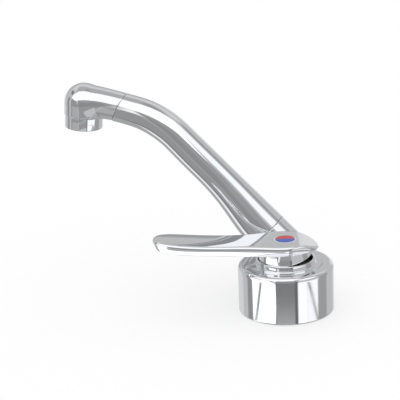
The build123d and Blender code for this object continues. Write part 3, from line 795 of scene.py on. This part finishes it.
def bowl_ring(kind, at, direction):
    """Radii and heights round a ring of the bowl: its cavity, its rounded slanted lip, or its outer wall."""
    slant = tan(radians(BOWL_SLANT))
    if kind == "cavity":
        radius = np.full(len(direction), BOWL_CAVITY)
        low = BOWL_LIP + slant * radius * direction[:, 0]
        return radius, BOWL_CEILING + at * (low - BOWL_CEILING)
    inset = BOWL_LIP_EDGE * (1 - sin(at)) if kind == "lip" else 0.0
    lift = BOWL_LIP_EDGE * (1 - cos(at)) if kind == "lip" else BOWL_LIP_EDGE
    low = np.full(len(direction), BOWL_LIP)
    for _ in range(BOWL_LIP_PASSES):
        low = BOWL_LIP + slant * np.sqrt(BOWL_RADIUS ** 2 - (low - PIVOT_HEIGHT) ** 2) * direction[:, 0]
    height = low + lift
    if kind == "wall":
        height = height + at * (BOWL_TOP - height)
    return np.sqrt(BOWL_RADIUS ** 2 - (height - PIVOT_HEIGHT) ** 2) - inset, height


def bowl_mesh():
    """Closed bowl from rings whose heights change round it, with a flat face at both ends."""
    angle = np.linspace(0, 2 * pi, ROUND_STEPS, endpoint=False)
    direction = np.stack([np.cos(angle), np.sin(angle)], 1)
    kinds = [("cavity", 0.0), ("cavity", 1.0)]
    kinds += [("lip", share) for share in np.linspace(0, pi / 2, BOWL_LIP_STEPS + 1)]
    kinds += [("wall", share) for share in np.linspace(0, 1, BOWL_WALL_STEPS + 1)[1:]]
    rings = []
    for kind, at in kinds:
        radius, height = bowl_ring(kind, at, direction)
        rings.append(np.c_[direction * radius[:, None], height])
    last = (len(rings) - 1) * ROUND_STEPS
    faces = [tuple(range(ROUND_STEPS))]
    faces += ring_faces(len(rings), ROUND_STEPS, flipped=True)
    faces.append(tuple(last + j for j in reversed(range(ROUND_STEPS))))
    return make_object("bowl", np.concatenate(rings), faces)


bowl = bowl_mesh()
dress(bowl, chrome, "chrome_plate", "lever")


# Indicator cap with its red and blue halves


def cap_dome(radius):
    """Height of the cap's gently domed top."""
    return float(CAP_CREST - (CAP_CREST - LEVER_LEVEL) * (radius / CAP_RADIUS) ** 2)


cap_outline = [(0.0, CAP_BOTTOM), (CAP_RADIUS, CAP_BOTTOM), (CAP_RADIUS, LEVER_LEVEL - CAP_EDGE)]
cap_outline += [(CAP_RADIUS - CAP_EDGE, cap_dome(CAP_RADIUS - CAP_EDGE))]
cap_outline += [(radius, cap_dome(radius)) for radius in np.linspace(CAP_DOME_FROM, 0, CAP_DOME_STEPS)]
cap = turned("cap", cap_outline)
dress(cap, cap_plastic, "cap_plastic", "lever", "indicator_cap")


def half_mark(name, side, steps=48, rings=8):
    """Thin half disc that lies on the domed cap, on one side of the lever's middle line."""
    points = []
    for lift in (-MARK_SUNK, MARK_PROUD):
        for share in np.linspace(0, 1, rings + 1):
            for angle in np.linspace(0, pi, steps + 1):
                radius = MARK_RADIUS * share
                points.append((radius * cos(angle), side * (MARK_SPLIT + radius * sin(angle)),
                               cap_dome(radius) + lift))
    row = steps + 1
    layer = row * (rings + 1)
    faces = []
    for i in range(rings):
        for j in range(steps):
            a = i * row + j
            faces.append((a, a + row, a + row + 1, a + 1))
            faces.append((layer + a, layer + a + 1, layer + a + row + 1, layer + a + row))
    for j in range(steps):
        a = rings * row + j
        faces.append((a, a + layer, a + layer + 1, a + 1))
    for i in range(rings):
        for j, turn in ((0, 1), (steps, -1)):
            a = i * row + j
            faces.append((a, a + layer, a + layer + row, a + row)[::turn])
    return welded(make_object(name, points, faces))


dress(half_mark("mark_hot", 1), red, "red_plastic", "lever", "hot_mark")
dress(half_mark("mark_cold", -1), blue, "blue_plastic", "lever", "cold_mark")


# Spout tube


def spout_rings(first, last, count, inset=0.0):
    """Rings of the spout between two distances along its back: centre, two axes across, and radius."""
    rings = []
    for distance in np.linspace(first, last, count):
        radius = float(smooth_line(SPOUT_SECTIONS, distance))
        along, up, slope = middle_point(distance, radius)
        across = -PLANE_OUT * sin(slope) + UP * cos(slope)
        rings.append((in_spout(along, up), PLANE_SIDE, across, radius - inset))
    return rings


def round_tube(name, sections):
    """Tube with open ends through rings, each given as its centre, two axes across and its radius."""
    angle = np.linspace(0, 2 * pi, TUBE_STEPS, endpoint=False)
    rings = [centre + radius * (np.cos(angle)[:, None] * side + np.sin(angle)[:, None] * up)
             for centre, side, up, radius in sections]
    return make_object(name, np.concatenate(rings), ring_faces(len(rings), TUBE_STEPS))


def cut_off(piece, point, normal):
    """Removes what lies beyond a plane and leaves the end open."""
    work = bmesh.new()
    work.from_mesh(piece.data)
    everything = work.verts[:] + work.edges[:] + work.faces[:]
    bmesh.ops.bisect_plane(work, geom=everything, plane_co=Vector(point) * MM, plane_no=Vector(normal),
                           clear_outer=True)
    work.to_mesh(piece.data)
    work.free()


def sleeve(name, near, far):
    """Dark inner neck in painted shade, standing for the shade at the bottom of a seam."""
    piece = round_tube(name, spout_rings(near, far, NECK_RINGS, SEAM_DEPTH))
    # Painted shade: the neck's dark colour stands for shade in the seam, not for seal rubber
    return dress(piece, seam_painted_shade, "seal_rubber", "spout")


tube = round_tube("tube", spout_rings(SEAM_GAP, SEAM_AT + TUBE_SPARE, TUBE_RINGS))
cut_off(tube, cut_point - cut_normal * SEAM_GAP / 2, cut_normal)
dress(tube, chrome, "chrome_plate", "spout", "spout_tube")
sleeve("foot_neck", *FOOT_NECK)
head_neck = sleeve("head_neck", *HEAD_NECK)


# Head and aerator


def skin_field(points):
    """Distance to the spout's round skin near the head."""
    distances = np.linspace(SKIN_FROM, SPOUT_SECTIONS[-1][0], SKIN_RINGS)
    radii = smooth_line(SPOUT_SECTIONS, distances)
    centres = np.array([in_spout(*middle_point(far, radius)[:2]) for far, radius in zip(distances, radii)])
    radii = radii - HEAD_TUCK * np.clip((distances - SEAM_AT) / (distances[-1] - SEAM_AT), 0, 1) ** 2
    nearest = np.full(len(points), np.inf)
    result = np.zeros(len(points))
    for i in range(len(centres) - 1):
        way = centres[i + 1] - centres[i]
        share = np.clip((points - centres[i]) @ way / (way @ way), 0, 1)
        gap = np.linalg.norm(points - centres[i] - share[:, None] * way, axis=1)
        nearer = gap < nearest
        nearest[nearer] = gap[nearer]
        result[nearer] = (gap - radii[i] - share * (radii[i + 1] - radii[i]))[nearer]
    return result


def head_field(points):
    """Distance to the head: the spout's skin and the outlet's dome, cut at lip and seam, with a socket."""
    dome = rod(points, head_centre, head_centre + outlet_way * HEAD_REACH, HEAD_RADIUS - HEAD_TUCK)
    below = np.clip((head_centre[2] - points[:, 2]) / HEAD_RADIUS + HEAD_CORNER_LIFT, 0, 1)
    behind = np.clip((head_centre - points) @ PLANE_OUT / HEAD_RADIUS, 0, 1)
    blend = HEAD_CROWN_BLEND + (HEAD_CORNER_BLEND - HEAD_CROWN_BLEND) * below * behind
    whole = either(skin_field(points), dome, blend)
    whole = both(whole, side_of(points, lip_point, outlet_way), HEAD_LIP_EDGE)
    whole = both(whole, -side_of(points, cut_point + cut_normal * SEAM_GAP / 2, cut_normal), HEAD_SEAM_EDGE)
    socket = both(endless_rod(points, head_centre, outlet_way, HEAD_RADIUS - HEAD_WALL),
                  -side_of(points, head_centre, outlet_way))
    return both(whole, -socket)


head = field_surface("head", head_field, HEAD_BOX, HEAD_STEP)
dress(head, chrome, "chrome_plate", "spout", "spout_head")


def along_outlet(piece):
    """Turns a piece made about the vertical axis, pointing down, onto the outlet's axis below the lip."""
    side = np.cross(UP, outlet_way)
    side /= np.linalg.norm(side)
    outlet_axes = np.stack([side, np.cross(-outlet_way, side), -outlet_way], 1)
    points = np.array([vertex.co for vertex in piece.data.vertices]) / MM
    points = points @ outlet_axes.T + lip_point
    piece.data.vertices.foreach_set("co", (points * MM).ravel())
    piece.data.update()


aerator = turned("aerator", rounded_outline(
    [(AERATOR_BORE, AERATOR_THREAD_LENGTH), (AERATOR_BORE, -AERATOR_LENGTH),
     (AERATOR_RADIUS, -AERATOR_LENGTH), (AERATOR_RADIUS, -AERATOR_GAP),
     (AERATOR_THREAD, -AERATOR_GAP), (AERATOR_THREAD, AERATOR_THREAD_LENGTH)],
    AERATOR_CORNERS,
))
along_outlet(aerator)
dress(aerator, chrome, "chrome_plate", "spout", "aerator_housing")


# Floor, camera and light


def white_floor():
    """Pale floor that the camera sees a little lightened and the chrome doesn't show."""
    floor = flat_sheet("floor", (-FLOOR_HALF, FLOOR_HALF), (-FLOOR_HALF, FLOOR_HALF), 0.0)
    material, tree, shader = new_material("floor_white")
    shader.inputs["Base Color"].default_value = (1, 1, 1, 1)
    shader.inputs["Roughness"].default_value = FLOOR_ROUGHNESS
    shader.inputs["Specular IOR Level"].default_value = 0.0
    path = add_node(tree, "ShaderNodeLightPath")
    white = add_node(tree, "ShaderNodeEmission", Strength=1.0)
    mix = add_node(tree, "ShaderNodeMixShader")
    share = math_node(tree, "MULTIPLY", path.outputs["Is Camera Ray"], FLOOR_LIGHTENED)
    for socket, source in zip(mix.inputs, (share, shader.outputs[0], white.outputs[0])):
        tree.links.new(source, socket)
    tree.links.new(mix.outputs[0], tree.nodes["Material Output"].inputs["Surface"])
    floor.data.materials.append(material)
    floor.visible_glossy = False
    floor.visible_shadow = False


def photo_camera():
    """Camera that stands and looks as the photograph's did."""
    elevation = radians(CAMERA_ELEVATION)
    roll = radians(CAMERA_ROLL)
    forward = Vector((0, cos(elevation), -sin(elevation)))
    level_up = Vector((0, sin(elevation), cos(elevation)))
    level_right = Vector((1, 0, 0))
    up = level_up * cos(roll) + level_right * sin(roll)
    right = level_right * cos(roll) - level_up * sin(roll)
    place = (Vector(CAMERA_TARGET) - forward * CAMERA_DISTANCE) * MM
    data = bpy.data.cameras.new("camera")
    data.sensor_width = SENSOR
    data.lens = FOCAL_PIXELS * SENSOR / PHOTO_PIXELS
    data.clip_start = CAMERA_NEAR
    data.clip_end = CAMERA_FAR
    camera = bpy.data.objects.new("camera", data)
    bpy.context.scene.collection.objects.link(camera)
    rows = [(right[i], up[i], -forward[i], place[i]) for i in range(3)]
    camera.matrix_world = Matrix((*rows, (0, 0, 0, 1)))
    bpy.context.scene.camera = camera


def soft_band(tree, away, half, soft):
    """1 where the distance is under the half width, 0 beyond it, with a soft edge. Widths are in degrees."""
    edge = (radians(half - soft / 2), radians(half + soft / 2))
    return remapped(tree, away, edge, (1.0, 0.0), "SMOOTHSTEP")


def panel_mask(tree, azimuth, height, middle, half, low, high, soft):
    """1 inside a panel and 0 outside it.

    Its middle azimuth is in radians, a number or a node's output. Its half width, its elevations and its
    soft edge are in degrees.
    """
    turned_by = math_node(tree, "WRAP", math_node(tree, "SUBTRACT", azimuth, middle), pi, -pi)
    above = math_node(tree, "SUBTRACT", height, radians((low + high) / 2))
    across = soft_band(tree, math_node(tree, "ABSOLUTE", turned_by), half, soft)
    along = soft_band(tree, math_node(tree, "ABSOLUTE", above), (high - low) / 2, soft)
    return math_node(tree, "MULTIPLY", across, along)


def studio_world():
    """World whose plain light falls on all surfaces, and whose walls and panels show only in glossy ones."""
    world = bpy.data.worlds.new("studio")
    bpy.context.scene.world = world
    world.use_nodes = True
    tree = world.node_tree
    place = add_node(tree, "ShaderNodeTexCoord")
    axes = add_node(tree, "ShaderNodeSeparateXYZ", Vector=place.outputs["Generated"])
    azimuth = math_node(tree, "ARCTAN2", axes.outputs["Y"], axes.outputs["X"])
    height = math_node(tree, "ARCSINE", axes.outputs["Z"])
    shown = STUDIO_BASE
    for _, left, right, low, high, soft, brightness in STUDIO_PANELS:
        middle = radians((left + right) / 2)
        mask = panel_mask(tree, azimuth, height, middle, (right - left) / 2, low, high, soft)
        shown = mixed(tree, "FLOAT", mask, shown, brightness)
    lean = (SLAT_FOOT[0] - SLAT_TOP[0]) / (SLAT_FOOT[1] - SLAT_TOP[1])
    middle = math_node(tree, "MULTIPLY_ADD", height, lean, radians(SLAT_TOP[0] - lean * SLAT_TOP[1]))
    low = SLAT_FOOT[1] - SLAT_REACH
    high = SLAT_TOP[1] + SLAT_REACH
    mask = panel_mask(tree, azimuth, height, middle, SLAT_WIDTH / 2, low, high, SLAT_SOFT)
    shown = mixed(tree, "FLOAT", mask, shown, SLAT_BRIGHTNESS)
    tinted = add_node(tree, "ShaderNodeVectorMath", operation="SCALE", Scale=shown)
    tinted.inputs[0].default_value = STUDIO_TINT
    path = add_node(tree, "ShaderNodeLightPath")
    daylight = (DAYLIGHT, DAYLIGHT, DAYLIGHT, 1)
    seen = mixed(tree, "RGBA", path.outputs["Is Glossy Ray"], daylight, tinted.outputs[0])
    tree.links.new(seen, tree.nodes["Background"].inputs["Color"])


def overhead_panel():
    """White panel above the lever's side that reaches towards the camera and shows only in gloss."""
    panel = flat_sheet("overhead_panel", OVERHEAD_X, OVERHEAD_Y, OVERHEAD_HEIGHT)
    material, _, shader = new_material("panel_white")
    shader.inputs["Base Color"].default_value = (0, 0, 0, 1)
    shader.inputs["Emission Color"].default_value = (*STUDIO_TINT, 1)
    shader.inputs["Emission Strength"].default_value = OVERHEAD_BRIGHTNESS
    panel.data.materials.append(material)
    panel.visible_camera = False
    panel.visible_diffuse = False
    panel.visible_shadow = False


def softbox(name, lit, target, azimuth, height, away, sides, ends, brightness, tilt=0.0):
    """Flat lamp that shows only in the given pieces' gloss.

    Azimuth and height give its direction from the target in degrees. Its sides and ends are where its edges
    lie to the left and right of that direction and below and above it, once it is tilted about it.
    """
    way = Vector((cos(radians(azimuth)) * cos(radians(height)), sin(radians(azimuth)) * cos(radians(height)),
                  sin(radians(height))))
    turn = way.to_track_quat("Z", "Y") @ Quaternion((0, 0, 1), radians(tilt))
    data = bpy.data.lights.new(name, "AREA")
    data.shape = "RECTANGLE"
    data.size = (sides[1] - sides[0]) * MM
    data.size_y = (ends[1] - ends[0]) * MM
    data.energy = brightness * pi * data.size * data.size_y
    data.color = STUDIO_TINT
    lamp = bpy.data.objects.new(name, data)
    bpy.context.scene.collection.objects.link(lamp)
    middle = turn @ Vector((sum(sides) / 2, sum(ends) / 2, 0))
    lamp.location = (Vector(target) + way * away + middle) * MM
    lamp.rotation_euler = turn.to_euler()
    lamp.visible_diffuse = False
    lamp.visible_camera = False
    group = bpy.data.collections.new(name + "_lit")
    for piece in lit:
        group.objects.link(piece)
    lamp.light_linking.receiver_collection = group


white_floor()
photo_camera()
studio_world()
overhead_panel()
for name, ends in (("left_softbox_low", (LEFT_SOFTBOX_ENDS[0], LEFT_SLIT[0])),
                   ("left_softbox_high", (LEFT_SLIT[1], LEFT_SOFTBOX_ENDS[1]))):
    softbox(name, (shell, lever, bowl), target=(0, 0, 20), azimuth=-151.5, height=-8, away=600,
            sides=(-345, 299), ends=ends, brightness=1.15, tilt=17.2)
softbox("table_softbox", (lever,), target=(-30, -10, 38), azimuth=-100, height=-62, away=500,
        sides=(-230, 230), ends=(-160, 160), brightness=1.1)
softbox("tip_softbox", (lever,), target=(-70, -5, 40), azimuth=-160, height=-50, away=500,
        sides=(-210, 210), ends=(-180, 180), brightness=1.1)
softbox("low_softbox", (head, aerator, head_neck), target=tuple(head_centre), azimuth=-115, height=-32,
        away=600, sides=(-600, 600), ends=(-210, 210), brightness=0.12)

bpy.context.scene.view_settings.view_transform = "Standard"
